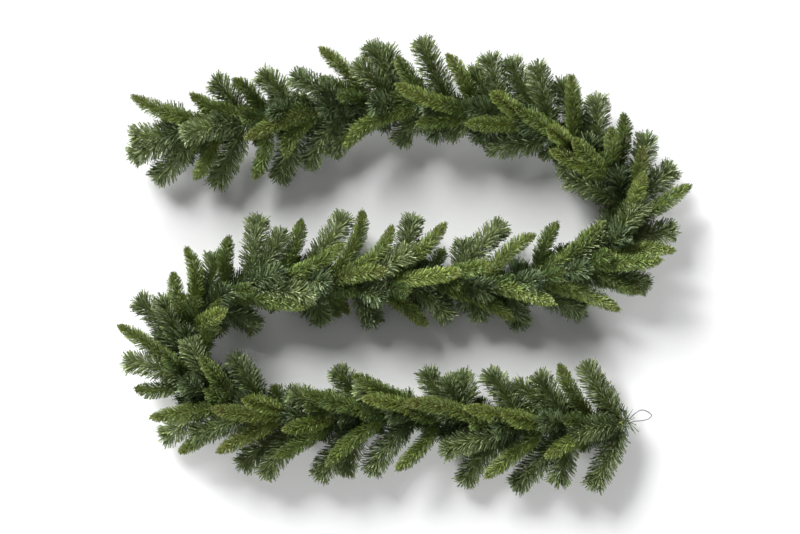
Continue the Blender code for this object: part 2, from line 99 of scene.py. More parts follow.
# The bunches in order from the free end, dark and pale by turns. Each spray is its lean off the
# line back to the free end (degrees, anticlockwise from above), its reach from the wire and the
# height of its tip (millimetres), and how far its outer end curls (degrees, anticlockwise).
BUNCHES = (
    ((14, 122, 35, 8), (40, 112, 20, -15), (-7, 112, 40, -8)),
    ((-30, 160, 65, -12), (55, 104, 35, -15)),
    ((55, 125, 20, -5), (-62, 95, 45, 20), (5, 110, 75, 10)),
    ((-28, 145, 60, -22), (-57, 95, 50, 15), (65, 114, 40, -15)),
    ((-57, 98, 30, 15), (65, 125, 20, -15)),
    ((16, 143, 85, 10), (50, 105, 60, 35)),
    ((50, 130, 25, 5), (-35, 110, 70, 5)),
    ((-50, 139, 40, 10), (-30, 108, 40, 0)),
    ((40, 150, 20, 25), (-61, 121, 35, 15), (-75, 108, 30, 5), (-42, 108, 45, 0)),
    ((-55, 100, 65, 5), (35, 160, 70, 32)),
    ((45, 110, 20, 40), (-60, 135, 45, 0)),
    ((-10, 150, 100, -10), (20, 110, 75, -5), (-55, 115, 60, 10)),
    ((35, 105, 20, 35), (-65, 115, 40, 5), (-45, 104, 35, 0)),
    ((23, 110, 85, 0), (-16, 85, 112, 10)),
    ((-35, 155, 30, -10), (38, 116, 25, -8), (-50, 130, 50, 5)),
    ((0, 120, 80, 10), (-57, 130, 65, 5), (0, 60, 116, 10)),
    ((-30, 160, 35, 0), (-55, 120, 40, 5), (48, 68, 30, 0)),
    ((30, 125, 75, 5), (10, 105, 95, 0), (-35, 95, 65, 0), (-45, 122, 50, 15)),
    ((51, 116, 40, 10), (-35, 130, 45, 10), (-70, 115, 30, 10)),
    ((10, 150, 60, 10), (5, 105, 100, 5), (-35, 145, 45, 0)),
    ((-25, 130, 30, -10), (40, 85, 30, 0), (15, 110, 65, 0)),
    ((-20, 160, 60, -15), (-25, 135, 85, 5), (-55, 115, 40, 10)),
    ((-28, 162, 25, -10), (26, 115, 50, 0)),
    ((-34, 160, 50, -10), (27, 160, 55, 10), (55, 110, 40, -15)),
    ((-30, 145, 25, -10), (-80, 85, 20, 10)),
    ((-15, 130, 75, -10), (45, 128, 60, -20)),
    ((-55, 80, 25, -20), (55, 135, 35, -15), (86, 82, 30, 5)),
    ((-25, 160, 35, -15), (15, 115, 98, -10)),
    ((-45, 105, 25, -15), (80, 120, 40, -10)),
    ((-45, 115, 35, 0), (5, 150, 80, 0), (40, 160, 60, 10)),
    ((-65, 85, 20, -5), (30, 120, 60, 0)),
    ((47, 153, 65, 35), (15, 110, 92, -10), (70, 145, 45, 25)),
    ((-65, 85, 20, -15), (60, 145, 30, 5)),
    ((-30, 140, 30, -40), (26, 139, 78, 14), (65, 122, 45, 15)),
    ((72, 126, 35, 0), (-20, 120, 60, 0), (48, 115, 45, 8)),
    ((60, 105, 50, -10), (-35, 150, 60, 0)),
    ((-65, 103, 25, -20), (-100, 58, 20, 0), (38, 103, 30, 5)),
    ((30, 145, 50, 30), (40, 105, 75, -10), (-38, 80, 95, 0)),
    ((40, 130, 30, 15), (20, 110, 48, 10)),
    ((-55, 150, 75, 0), (20, 160, 60, 5), (65, 105, 50, -25)),
    ((10, 165, 30, 20), (71, 122, 25, -10), (-40, 110, 50, 0)),
    ((25, 150, 80, 0), (57, 133, 45, -10), (-40, 105, 88, 5)),
    ((-50, 110, 45, 20), (30, 130, 60, 0)),
    ((35, 140, 65, 0), (0, 130, 90, -10), (-15, 80, 112, 10)),
    ((40, 160, 20, 10), (55, 140, 35, 8)),
    ((30, 135, 55, -10), (10, 100, 98, -5)),
    ((-20, 140, 60, -5), (-60, 98, 35, 12), (50, 145, 30, 0), (68, 118, 25, 5)),
    ((-15, 160, 78, -10), (-45, 95, 55, 20), (40, 145, 60, 10)),
    ((60, 135, 30, 10), (-20, 120, 60, 0)),
    ((-5, 145, 98, 10), (58, 123, 60, -10), (-15, 168, 75, 0)),
    ((-45, 122, 35, -15), (-75, 95, 40, 5), (-57, 92, 45, 0)),
    ((-10, 165, 80, 15),),
    ((-55, 115, 35, 20), (20, 145, 50, 5), (50, 145, 20, 20)),
    ((-15, 150, 90, 0), (40, 140, 55, 0), (-20, 85, 112, 5)),
    ((45, 150, 25, 0), (73, 108, 40, -5), (-60, 115, 40, 0), (-38, 128, 35, 10)),
    ((25, 110, 75, 0), (-65, 130, 60, -15)),
    ((-64, 126, 35, -10), (60, 132, 30, -5), (5, 95, 60, 0)),
)

# Sprays that differ in colour from the rest of their kind, as (bunch, spray): brown at the end
# and down the stem, lighter with painted light where they rise towards the lamps, or a plainer green
BROWN_SPRAYS = {(5, 0), (19, 0), (31, 1), (43, 0), (43, 1), (51, 0)}
PAINTED_LIGHT_SPRAYS = {
    (7, 0), (11, 0), (13, 1), (15, 2), (17, 0), (19, 1), (29, 1), (37, 2), (43, 2), (49, 0), (53, 0),
    (53, 2), (55, 0),
}
PLAIN_SPRAYS = {
    (3, 1), (3, 2), (6, 1), (7, 1), (9, 0), (11, 1), (17, 3), (21, 2), (23, 2), (24, 0), (33, 2),
    (35, 0), (39, 0), (39, 2), (45, 0), (47, 0), (47, 1), (49, 2),
}

# How light a spray is in its kind, from 0 to 1: sprays that rise towards the lamps get painted light,
# and fillers and the core wire's needles under the other sprays get painted shade
PAINTED_LIGHT_TINT = 0.68
PLAIN_TINT = 0.32
USUAL_TINT = (0.40, 0.60)
PAINTED_SHADE_TINT = (0.0, 0.2)

# Sprays that only fill the garland's middle, under the others: each one's lean, in degrees, and
# the least and most height of its tip, in millimetres, then the least and most of their stray,
# reach (millimetres) and curl
FILLERS = ((-56, 10, 34), (-30, 14, 40), (30, 14, 40), (56, 10, 34), (-5, 48, 80))
FILLER_STRAY = (-16, 16)
FILLER_REACH = (46, 68)
FILLER_CURL = (-20, 20)
FILLER_NEEDLES = 0.8

# How a needle's place round its stem steps on, which spreads them evenly
GOLDEN_TURN = math.radians(137.508)

# Needles along a stem, in metres: where they start, the first stretch, whose needles are shorter,
# and how deep the tuft's roots go into the end
FIRST_NEEDLE = 0.006
SHORT_STRETCH = 0.028
SHORT_SHARE = 0.62
TUFT_DEPTH = 0.008

# Where needles shorten towards the end and where the brown end starts, as shares of the stem, and
# a spray's height against its width
TAPER_START = 0.65
BROWN_START = 0.85
SPRAY_FLATNESS = 0.60

# A brown spray's share of brown at its end and before it, and how much of that a needle loses up
# to its tip
BROWN_END = 0.75
BROWN_STRETCH = 0.25
BROWN_FADE = 0.6

# A needle's width at its root against its tip's, and how needles differ in length and in width
NEEDLE_ROOT = 0.8
NEEDLE_LENGTHS = (0.86, 1.08)
NEEDLE_WIDTHS = (0.8, 1.15)

# Needles that would dip under the table end this high above it, in metres, and up to this much
# higher
TABLE_CLEAR = 0.0007
TABLE_SPREAD = 0.004

# Dressed stems: sides, how much slimmer the end is, and their shade, which is random in needles
STEM_SIDES = 5
STEM_TAPER = 0.55
STEM_SHADE = 0.5

# Stem wire wound round the core wire to bind a bunch, with how it grew
BIND_TURNS = 3
BIND_STEPS = 10
BIND_SIDES = 6
BIND_GROWTH = (0, STEM_SHADE, 0.3, 0.5)

# Needles on the core wire: their angle to it, in degrees, along it and by its end, and their
# length against a dark needle's
WIRE_NEEDLES_PER_METRE = 5200
WIRE_NEEDLE_SPREAD = (40, 80)
WIRE_END = 0.02
WIRE_END_SPREAD = (50, 130)
WIRE_NEEDLE_LENGTHS = (0.7, 1.0)

# Steps of a strand in one full twist
STRAND_STEPS = 8

# Hanging loop: its outline from leg to leg is how far out from the core wire's end, then how far
# to its left
LOOP_WIRE_RADIUS = 0.0009
LOOP_STEPS = 6
LOOP_OUTLINE = (
    (-0.0045, 0.0045), (0.0000, 0.0045), (0.0040, 0.0046), (0.0080, 0.0086), (0.0137, 0.0130),
    (0.0203, 0.0164), (0.0276, 0.0168), (0.0343, 0.0137), (0.0394, 0.0097), (0.0414, 0.0062),
    (0.0387, 0.0025), (0.0330, -0.0003), (0.0259, -0.0012), (0.0178, -0.0014), (0.0107, -0.0014),
    (0.0050, -0.0026), (0.0000, -0.0045), (-0.0045, -0.0045),
)

# Width of the picture at the core wire's height, and the ways that the two lamps shine
FRAME_WIDTH = 1.40
SENSOR_WIDTH = 36.0
KEY_WAY = (0.50, -0.72, -0.27)
FILL_WAY = (-0.10, 0.85, -0.24)

# Small numbers that keep a division from zero, and a needle from pointing straight up
NEARLY_PARALLEL = 1e-15
OFF_UPRIGHT = 1e-6

SEED = 7
SEEDS_APART = 1000
UP = Vector((0, 0, 1))
MM = 0.001
NO_OWNER = -1

# The attribute that tells how far up its needle a point is, then the needle's shade (a random
# number), its tint, which carries painted light and shade as well as tone, and its share of brown
GROWTH = "growth"

# Finishes: the stride that makes a second random number of the shade, and how needles and sprays
# of one kind differ in lightness, hue and roughness; the sprays' lightness holds painted light and
# shade
SHADE_STRIDE = 7.31
NEEDLE_LEVELS = (0.64, 1.36)
SPRAY_LEVELS = (0.5, 1.5)
SPRAY_HUES = (0.525, 0.475)
NEEDLE_ROUGHNESS = (0.42, 0.66)

# The wire's roughness and metal, from coat to bare steel
WIRE_ROUGHNESS = (0.55, 0.34)
WIRE_METAL = (0.2, 0.8)

# Noise over needles and over wire, coarse and fine: its scale on Object coordinates
NEEDLE_MOTTLE = 55.0
NEEDLE_GRAIN = 900.0
WIRE_WEAR = 160.0
WIRE_GRAIN = 2400.0

# The colour sockets of a Mix node, by number
MIX_LOW = 6
MIX_HIGH = 7
MIX_RESULT = 2

Spray = namedtuple("Spray", "number bunch kind path")
Plan = namedtuple("Plan", "wire sprays shift")
Needles = namedtuple("Needles", "root tip roll width shade tint wood")


# Layout, the same as the frame's


def smooth_run(points, steps=16):
    """A Catmull-Rom curve through the points, with its ends carried straight on."""
    first = 2 * points[0] - points[1]
    last = 2 * points[-1] - points[-2]
    fixed = [first, *points, last]
    run = []
    for a, b, c, d in zip(fixed, fixed[1:], fixed[2:], fixed[3:]):
        for step in range(steps):
            t = step / steps
            square = (2 * a - 5 * b + 4 * c - d) * t**2
            cube = (3 * b - a - 3 * c + d) * t**3
            run.append(0.5 * (2 * b + (c - a) * t + square + cube))
    return [*run, points[-1]]


def distances(points):
    """How far along a run of points each one is."""
    return np.concatenate([[0], np.cumsum([(b - a).length for a, b in zip(points, points[1:])])])


def read_run(points, marks, distance):
    """The point at a distance along a run."""
    columns = zip(*points)
    return Vector([np.interp(distance, marks, column) for column in columns])


class Wire:
    """The core wire's centre line: short stretches, a bunch in the middle of every second one."""

    def __init__(self):
        smooth = smooth_run([Vector((x, y, 0)) for x, y in WIRE_RUN])
        marks = distances(smooth)
        stretches = STRETCHES_PER_BUNCH * (len(BUNCHES) - 1) + 1
        self.points = []
        for number in range(stretches + 1):
            distance = marks[-1] * number / stretches
            point = read_run(smooth, marks, distance)
            point.z = WIRE_HEIGHT + WIRE_WAVE * math.sin(2 * math.pi * distance / WIRE_WAVE_LENGTH)
            self.points.append(point)
        self.marks = distances(self.points)
        self.length = float(self.marks[-1])
        middles = (self.marks[1:] + self.marks[:-1]) / 2
        self.bunch_places = [float(middle) for middle in middles[::STRETCHES_PER_BUNCH]]

    def at(self, distance):
        """The point at a distance from the free end."""
        return read_run(self.points, self.marks, distance)

    def along(self, distance):
        """The direction towards the hanging loop."""
        after = min(max(int(np.searchsorted(self.marks, distance)), 1), len(self.points) - 1)
        return (self.points[after] - self.points[after - 1]).normalized()


class Obstacles:
    """Straight tapered pieces that a new one must keep clear of, each tagged with its bunch."""

    def __init__(self):
        self.rows = []

    def add(self, bunch, start, end, start_radius, end_radius):
        """One more piece, with its bunch and its radius at both ends."""
        self.rows.append((bunch, *start, *end, start_radius, end_radius))

    def gap(self, start, end, start_radius, end_radius, bunch):
        """The narrowest gap from a piece to all others but those of its own bunch."""
        table = np.array(self.rows)
        rows = table[table[:, 0] != bunch, 1:]
        here, there = np.array(start), rows[:, 0:3]
        run, runs = np.array(end) - here, rows[:, 3:6] - there
        apart = here - there
        a, e = run @ run, (runs * runs).sum(1)
        b, c, f = runs @ run, apart @ run, (runs * apart).sum(1)
        slack = np.maximum(a * e - b * b, NEARLY_PARALLEL)
        s = np.clip((b * f - c * e) / slack, 0, 1)
        t = np.clip((b * s + f) / e, 0, 1)
        s = np.clip((b * t - c) / a, 0, 1)
        distance = np.linalg.norm(apart + s[:, None] * run - t[:, None] * runs, axis=1)
        radius = start_radius + (end_radius - start_radius) * s
        radii = rows[:, 6] + (rows[:, 7] - rows[:, 6]) * t
        return float((distance - radius - radii).min())


def stem_path(wire, place, kind, spray, lift):
    """A stem's centre line: out of the collar, then round to the spray's own direction."""
    lean, reach, height, curl = spray
    root = wire.at(place)
    along = wire.along(place)
    bearing = math.atan2(-along.y, -along.x) + math.radians(lean)
    heading = bearing + math.radians(curl)
    tip = Vector((root.x, root.y, 0)) + reach * MM * Vector((math.cos(bearing), math.sin(bearing), 0))
    tip.z = max(height * MM + lift * MM, LOWEST_STEM)
    bend = tip - STEM_BEND * reach * MM * Vector((math.cos(heading), math.sin(heading), 0))
    bend.z = root.z + BEND_RISE * (tip.z - root.z) + BEND_LIFT * lift * MM
    end = tip - kind.overhang * (tip - bend).normalized()
    end.z = max(end.z, LOWEST_STEM)
    out = bend - root
    seat = root + STEM_SEAT * (out - along * out.dot(along)).normalized()
    path = []
    for step in range(STEM_STEPS + 1):
        t = step / STEM_STEPS
        point = seat.lerp(bend, t).lerp(bend.lerp(end, t), t)
        point.z = max(point.z, LOWEST_STEM)
        path.append(point)
    return path


def leader(kind, path):
    """The point of the needle that carries a stem's end straight on."""
    return path[-1] + kind.overhang * (path[-1] - path[-2]).normalized()


def path_gap(obstacles, bunch, kind, path):
    """The narrowest gap along a stem, apart from its first step, which is in its own collar."""
    gaps = [obstacles.gap(a, b, kind.stem, kind.stem, bunch) for a, b in zip(path[1:], path[2:])]
    return min(*gaps, obstacles.gap(path[-1], leader(kind, path), kind.stem, 0, bunch))


def lay_out(wire):
    """Every spray's stem, each lifted or lowered until it clears the stems laid before it."""
    obstacles = Obstacles()
    places = wire.bunch_places
    for a, b in zip(wire.points, wire.points[1:]):
        obstacles.add(NO_OWNER, a, b, WIRE_RADIUS, WIRE_RADIUS)
    for number, place in enumerate(places):
        half = wire.along(place) * COLLAR_LENGTH / 2
        centre = wire.at(place)
        obstacles.add(number, centre - half, centre + half, COLLAR_OUTSIDE, COLLAR_OUTSIDE)
    sprays = []
    for number, place in enumerate(places):
        kind = PALE if number % 2 else DARK
        for index, spray in enumerate(BUNCHES[number]):
            paths = [stem_path(wire, place, kind, spray, lift) for lift in STEM_LIFTS]
            gaps = [path_gap(obstacles, number, kind, path) for path in paths]
            clear = [path for path, gap in zip(paths, gaps) if gap >= STEM_CLEAR]
            path = clear[0] if clear else paths[gaps.index(max(gaps))]
            for a, b in zip(path, path[1:]):
                obstacles.add(number, a, b, kind.stem, kind.stem)
            obstacles.add(number, path[-1], leader(kind, path), kind.stem, 0)
            sprays.append(Spray(index, number, kind, path))
    return sprays


def tube(name, points, radius, sides_resolution):
    """A closed round tube along points, as a curve."""
    curve = bpy.data.curves.new(name, "CURVE")
    curve.dimensions = "3D"
    curve.bevel_depth = radius
    curve.bevel_resolution = sides_resolution
    curve.use_fill_caps = True
    spline = curve.splines.new("POLY")
    spline.points.add(len(points) - 1)
    for point, place in zip(spline.points, points):
        point.co = (*place, 1)
    obj = bpy.data.objects.new(name, curve)
    bpy.context.scene.collection.objects.link(obj)
    return obj


def add_solid(mesh, curve):
    """Add a tube's faces to a mesh, and take the curve away."""
    solid = curve.evaluated_get(bpy.context.evaluated_depsgraph_get())
    data = bpy.data.meshes.new_from_object(solid)
    mesh.from_mesh(data)
    bpy.data.objects.remove(curve)
    bpy.data.meshes.remove(data)


def frame_shift(wire):
    """From the layout's origin to the frame's: how far the core wire's box is from a tube's."""
    guide = tube("guide", wire.points, WIRE_RADIUS, 0)
    bpy.context.view_layer.update()
    low = Vector(guide.bound_box[0])
    bpy.data.objects.remove(guide)
    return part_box("core_wire")[0] - low


@functools.cache
def plan():
    """The layout, worked out once."""
    wire = Wire()
    return Plan(wire, lay_out(wire), frame_shift(wire))


# Needles


def walk(path, distance):
    """The point and direction at a distance along a path of points."""
    for a, b in zip(path, path[1:]):
        step = (b - a).length
        if distance <= step:
            return a.lerp(b, distance / step), (b - a).normalized()
        distance -= step
    return path[-1], (path[-1] - path[-2]).normalized()


def path_length(path):
    """How long a path of points is."""
    return sum((b - a).length for a, b in zip(path, path[1:]))


def ring(centre, along, radius, sides):
    """Points round a stem, square to it."""
    side = along.cross(UP).normalized()
    top = side.cross(along)
    turns = [2 * math.pi * k / sides for k in range(sides)]
    return [centre + radius * (math.cos(turn) * side + math.sin(turn) * top) for turn in turns]


@functools.cache
def needle_template():
    """A flat needle of unit length and half width up +Z, turned a quarter from root to blunt tip."""
    mesh = bmesh.new()
    corners = ((-NEEDLE_ROOT, 0, 0), (NEEDLE_ROOT, 0, 0), (0, -1, 1), (0, 1, 1))
    bmesh.ops.convex_hull(mesh, input=[mesh.verts.new(corner) for corner in corners])
    data = bpy.data.meshes.new("needle")
    mesh.to_mesh(data)
    mesh.free()
    return data


def unit(rows):
    """Each row as a direction of length one."""
    return rows / np.linalg.norm(rows, axis=1)[:, None]


def across(along):
    """Two directions square to each row of along, the first one level."""
    side = unit(np.cross(along, np.array(UP)))
    return side, np.cross(side, along)


def follow(path, marks):
    """The points and directions at distances along a path of points."""
    points = np.array(path)
    steps = np.diff(points, axis=0)
    ends = np.concatenate([[0], np.cumsum(np.linalg.norm(steps, axis=1))])
    number = np.clip(np.searchsorted(ends, marks) - 1, 0, len(steps) - 1)
    along = unit(steps)[number]
    return points[number] + along * (marks - ends[number])[:, None], along


def fanned(centre, along, turns, spread, reach, flatness=1.0):
    """Where needles end that lean away from their stem, each at its own turn round it."""
    side, top = across(along)
    outward = np.cos(turns)[:, None] * side + flatness * np.sin(turns)[:, None] * top
    lean = np.sin(spread)[:, None] * outward + np.cos(spread)[:, None] * along
    return centre + reach[:, None] * lean


def bent_off_table(tips, draw):
    """Tips that would dip under the table, raised to lie on it."""
    low = tips[:, 2] < TABLE_CLEAR
    tips[low, 2] = TABLE_CLEAR + TABLE_SPREAD * draw.random(low.sum())
    return tips


def spray_needles(path, look, draw, tint, brown, share_kept=1.0):
    """A spray's needles: round its stem by even turns, and fanned out past its end."""
    length = path_length(path)
    count = int((length - FIRST_NEEDLE) * look.per_metre * share_kept)
    tuft = int(look.tuft_needles * share_kept)
    total = count + tuft
    marks = FIRST_NEEDLE + (length - FIRST_NEEDLE) * (np.arange(count) + draw.random(count)) / count
    marks = np.concatenate([marks, length - TUFT_DEPTH * draw.random(tuft)])
    share = marks / length
    spread = look.spread + (look.end_spread - look.spread) * share**3
    reach = look.length * (SHORT_SHARE + (1 - SHORT_SHARE) * np.minimum(marks / SHORT_STRETCH, 1))
    reach *= 1 - look.taper * np.clip((share - TAPER_START) / (1 - TAPER_START), 0, 1) ** 2
    aside = np.sqrt(draw.random(tuft))
    spread[count:] = look.tuft_spread * aside
    reach[count:] = look.length * look.tuft * (1 - look.tuft_point * aside**2)
    spread += draw.normal(0, look.scatter, total)
    reach *= draw.uniform(*NEEDLE_LENGTHS, total)
    turns = draw.uniform(0, 2 * math.pi) + GOLDEN_TURN * np.arange(total)
    centre, along = follow(path, marks)
    tips = fanned(centre, along, turns, spread, reach, SPRAY_FLATNESS)
    wood = np.where(share > BROWN_START, max(BROWN_END * brown, look.end_brown), BROWN_STRETCH * brown)
    width = look.width * draw.uniform(*NEEDLE_WIDTHS, total)
    roll = draw.uniform(0, math.pi, total)
    # Painted light and shade along the spray: darker at its foot deep in the garland, lighter at its
    # end
    tints = tint + look.painted_end_light * (share - 0.5)
    tints[count:] -= look.tuft_shade
    return Needles(centre, bent_off_table(tips, draw), roll, width, draw.random(total), tints, wood)


def joined(parts):
    """Several lots of needles as one."""
    return Needles(*[np.concatenate(columns) for columns in zip(*parts)])


def needle_mesh(needles):
    """Every needle as one mesh: rows of the template, each moved from its root to its tip."""
    count = len(needles.width)
    sheaf = bpy.data.objects.new("sheaf", needle_template())
    bpy.context.scene.collection.objects.link(sheaf)
    rows = sheaf.modifiers.new("Rows", "ARRAY")
    rows.count = count
    data = bpy.data.meshes.new_from_object(sheaf.evaluated_get(bpy.context.evaluated_depsgraph_get()))
    bpy.data.objects.remove(sheaf)
    shape = np.array([vert.co for vert in needle_template().vertices])
    x, y, z = shape.T[:, None, :, None]
    rise = needles.tip - needles.root
    length = np.linalg.norm(rise, axis=1)[:, None, None]
    up = unit(rise)
    level, steep = across(up + OFF_UPRIGHT)
    turn = needles.roll[:, None]
    side = np.cos(turn) * level + np.sin(turn) * steep
    top = np.cross(up, side)
    up, side, top = up[:, None, :], side[:, None, :], top[:, None, :]
    width = needles.width[:, None, None]
    places = needles.root[:, None, :] + (side * x + top * y) * width + up * z * length
    places[:, :, 2] = np.maximum(places[:, :, 2], 0)
    data.vertices.foreach_set("co", places.astype(np.float32).ravel())
    growth = np.ones((count, len(shape), 4), np.float32)
    growth[:, :, 0] = shape[:, 2]
    growth[:, :, 1] = needles.shade[:, None]
    growth[:, :, 2] = needles.tint[:, None]
    growth[:, :, 3] = needles.wood[:, None] * (1 - BROWN_FADE * shape[:, 2])
    data.attributes.new(GROWTH, "FLOAT_COLOR", "POINT").data.foreach_set("color", growth.ravel())
    return data


def add_needles(mesh, needles):
    """Add every needle's faces to a mesh."""
    data = needle_mesh(needles)
    mesh.from_mesh(data)
    bpy.data.meshes.remove(data)


def sweep(mesh, rings):
    """A closed tube, its end face extruded from ring to ring."""
    end = mesh.faces.new([mesh.verts.new(point) for point in rings[0]])
    for number, (before, after) in enumerate(zip(rings, rings[1:])):
        grown = bmesh.ops.extrude_face_region(mesh, geom=[end])["geom"]
        # The face that grew stays: the first one closes the tube, and the others would be inside it
        if number:
            mesh.faces.remove(end)
        end = next(item for item in grown if isinstance(item, bmesh.types.BMFace))
        for vert in end.verts:
            nearest = min(range(len(before)), key=lambda k: (vert.co - before[k]).length)
            vert.co = after[nearest]


def mark_growth(mesh, start, values):
    """Tell the newest vertices, from number start on, how they grew."""
    mesh.verts.ensure_lookup_table()
    growth = mesh.verts.layers.float_color[GROWTH]
    for vert in mesh.verts[start:]:
        vert[growth] = values


def add_stem(mesh, path, radius, tint, wood):
    """A stem that tapers to its end, green or brown."""
    start = len(mesh.verts)
    length = path_length(path)
    marks = [length * step / STEM_STEPS for step in range(STEM_STEPS + 1)]
    radii = [radius * (1 - STEM_TAPER * mark / length) for mark in marks]
    sweep(mesh, [ring(*walk(path, mark), slim, STEM_SIDES) for mark, slim in zip(marks, radii)])
    mark_growth(mesh, start, (0, STEM_SHADE, tint, wood))


# Finishes


def socket(nodes, name, kind, inward):
    """One named socket on a node group's outside."""
    nodes.interface.new_socket(name=name, in_out="INPUT" if inward else "OUTPUT", socket_type=kind)


def link_new(tree, kind, inputs=(), **settings):
    """A new node with its settings, and its inputs by name or number, linked or set."""
    node = tree.nodes.new(kind)
    for name, value in settings.items():
        setattr(node, name, value)
    for name, value in dict(inputs).items():
        if isinstance(value, bpy.types.NodeSocket):
            tree.links.new(value, node.inputs[name])
        else:
            node.inputs[name].default_value = value
    return node


def blended(tree, factor, low, high):
    """A mix of two colours."""
    inputs = {0: factor, MIX_LOW: low, MIX_HIGH: high}
    return link_new(tree, "ShaderNodeMix", inputs, data_type="RGBA").outputs[MIX_RESULT]


def speckled(tree, place, scale, detail):
    """A noise over a piece."""
    inputs = {"Vector": place, "Scale": scale, "Detail": detail}
    return link_new(tree, "ShaderNodeTexNoise", inputs).outputs[0]


def calculated(tree, operation, first, second=0.0):
    """A calculation on one or two numbers."""
    return link_new(tree, "ShaderNodeMath", {0: first, 1: second}, operation=operation).outputs[0]


def ranged(tree, value, low, high, to_low=0.0, to_high=1.0):
    """A number moved from one range to another, and held inside it."""
    inputs = {"Value": value, "From Min": low, "From Max": high, "To Min": to_low, "To Max": to_high}
    return link_new(tree, "ShaderNodeMapRange", inputs).outputs[0]


@functools.cache
def needle_growth_group():
    """Colour, roughness and relief of needles and stems, from how each one grew."""
    group = bpy.data.node_groups.new("Needle growth", "ShaderNodeTree")
    for name in ("Root", "Middle", "Tip", "Bloom", "Bark"):
        socket(group, name, "NodeSocketColor", True)
    socket(group, "Bloom share", "NodeSocketFloat", True)
    socket(group, "Color", "NodeSocketColor", False)
    socket(group, "Roughness", "NodeSocketFloat", False)
    socket(group, "Normal", "NodeSocketVector", False)
    given = group.nodes.new("NodeGroupInput").outputs
    growth = link_new(group, "ShaderNodeAttribute", attribute_name=GROWTH)
    parts = link_new(group, "ShaderNodeSeparateColor", {0: growth.outputs["Color"]}).outputs
    up_needle, shade, tint = parts[0], parts[1], parts[2]
    bark = growth.outputs["Alpha"]
    place = link_new(group, "ShaderNodeTexCoord").outputs["Object"]
    mottle = speckled(group, place, NEEDLE_MOTTLE, 2.0)
    grain = speckled(group, place, NEEDLE_GRAIN, 3.0)
    past_root = ranged(group, up_needle, 0.1, 0.5)
    colour = blended(group, past_root, given["Root"], given["Middle"])
    colour = blended(group, ranged(group, up_needle, 0.5, 1.0), colour, given["Tip"])
    has_bloom = calculated(group, "LESS_THAN", shade, given["Bloom share"])
    patch = ranged(group, mottle, 0.35, 0.65, 0.35, 1.0)
    bloom = calculated(group, "MULTIPLY", calculated(group, "MULTIPLY", has_bloom, patch), past_root)
    colour = blended(group, bloom, colour, given["Bloom"])
    second_shade = calculated(group, "FRACT", calculated(group, "MULTIPLY", shade, SHADE_STRIDE))
    of_needle = ranged(group, second_shade, 0, 1, *NEEDLE_LEVELS)
    # A spray's tint sets its lightness and hue: its own tone, and painted light and shade too
    of_spray = ranged(group, tint, 0, 1, *SPRAY_LEVELS)
    level = calculated(group, "MULTIPLY", of_needle, of_spray)
    hue = ranged(group, tint, 0, 1, *SPRAY_HUES)
    inputs = {"Hue": hue, "Value": level, "Color": colour}
    colour = link_new(group, "ShaderNodeHueSaturation", inputs).outputs[0]
    colour = blended(group, bark, colour, given["Bark"])
    rough = ranged(group, grain, 0.3, 0.7, *NEEDLE_ROUGHNESS)
    inputs = {"Strength": 0.25, "Distance": 0.0004, "Height": grain}
    relief = link_new(group, "ShaderNodeBump", inputs)
    out = group.nodes.new("NodeGroupOutput")
    group.links.new(colour, out.inputs["Color"])
    group.links.new(rough, out.inputs["Roughness"])
    group.links.new(relief.outputs[0], out.inputs["Normal"])
    return group


def needle_material(name, look):
    """Needles and stems in the colours of their kind's settings."""
    material = bpy.data.materials.new(name)
    material.use_nodes = True
    tree = material.node_tree
    shader = tree.nodes["Principled BSDF"]
    inputs = {
        "Root": (*look.root_colour, 1),
        "Middle": (*look.middle_colour, 1),
        "Tip": (*look.tip_colour, 1),
        "Bloom": (*look.bloom_colour, 1),
        "Bark": (*look.bark_colour, 1),
        "Bloom share": look.bloom_share,
    }
    grown = link_new(tree, "ShaderNodeGroup", node_tree=needle_growth_group())
    for socket_name, value in inputs.items():
        grown.inputs[socket_name].default_value = value
    tree.links.new(grown.outputs["Color"], shader.inputs["Base Color"])
    tree.links.new(grown.outputs["Roughness"], shader.inputs["Roughness"])
    tree.links.new(grown.outputs["Normal"], shader.inputs["Normal"])
    shader.inputs["Specular IOR Level"].default_value = 0.3
    return material


@functools.cache
def wire_material():
    """Steel wire with a dull grey coat, worn brighter in places."""
    look = bpy.context.scene.garland_wire
    material = bpy.data.materials.new("Dull grey wire")
    material.use_nodes = True
    tree = material.node_tree
    shader = tree.nodes["Principled BSDF"]
    place = link_new(tree, "ShaderNodeTexCoord").outputs["Object"]
    wear = ranged(tree, speckled(tree, place, WIRE_WEAR, 4.0), 0.42, 0.62)
    fine = speckled(tree, place, WIRE_GRAIN, 2.0)
    colour = blended(tree, wear, (*look.coat_colour, 1), (*look.steel_colour, 1))
    relief = link_new(tree, "ShaderNodeBump", {"Strength": 0.3, "Distance": 0.0002, "Height": fine})
    tree.links.new(colour, shader.inputs["Base Color"])
    tree.links.new(ranged(tree, wear, 0, 1, *WIRE_ROUGHNESS), shader.inputs["Roughness"])
    tree.links.new(ranged(tree, wear, 0, 1, *WIRE_METAL), shader.inputs["Metallic"])
    tree.links.new(relief.outputs[0], shader.inputs["Normal"])
    return material


# Settings


def metres(name, description, default):
    """A setting in metres."""
    return FloatProperty(name=name, description=description, default=default, unit="LENGTH")


def degrees(name, description, default):
    """An angle's setting, given in degrees."""
    radians = math.radians(default)
    return FloatProperty(name=name, description=description, default=radians, subtype="ANGLE")


def amount(name, description, default):
    """A plain number's setting."""
    return FloatProperty(name=name, description=description, default=default)


def paint(name, description, default):
    """A colour's setting."""
    return FloatVectorProperty(name=name, description=description, default=default, subtype="COLOR")


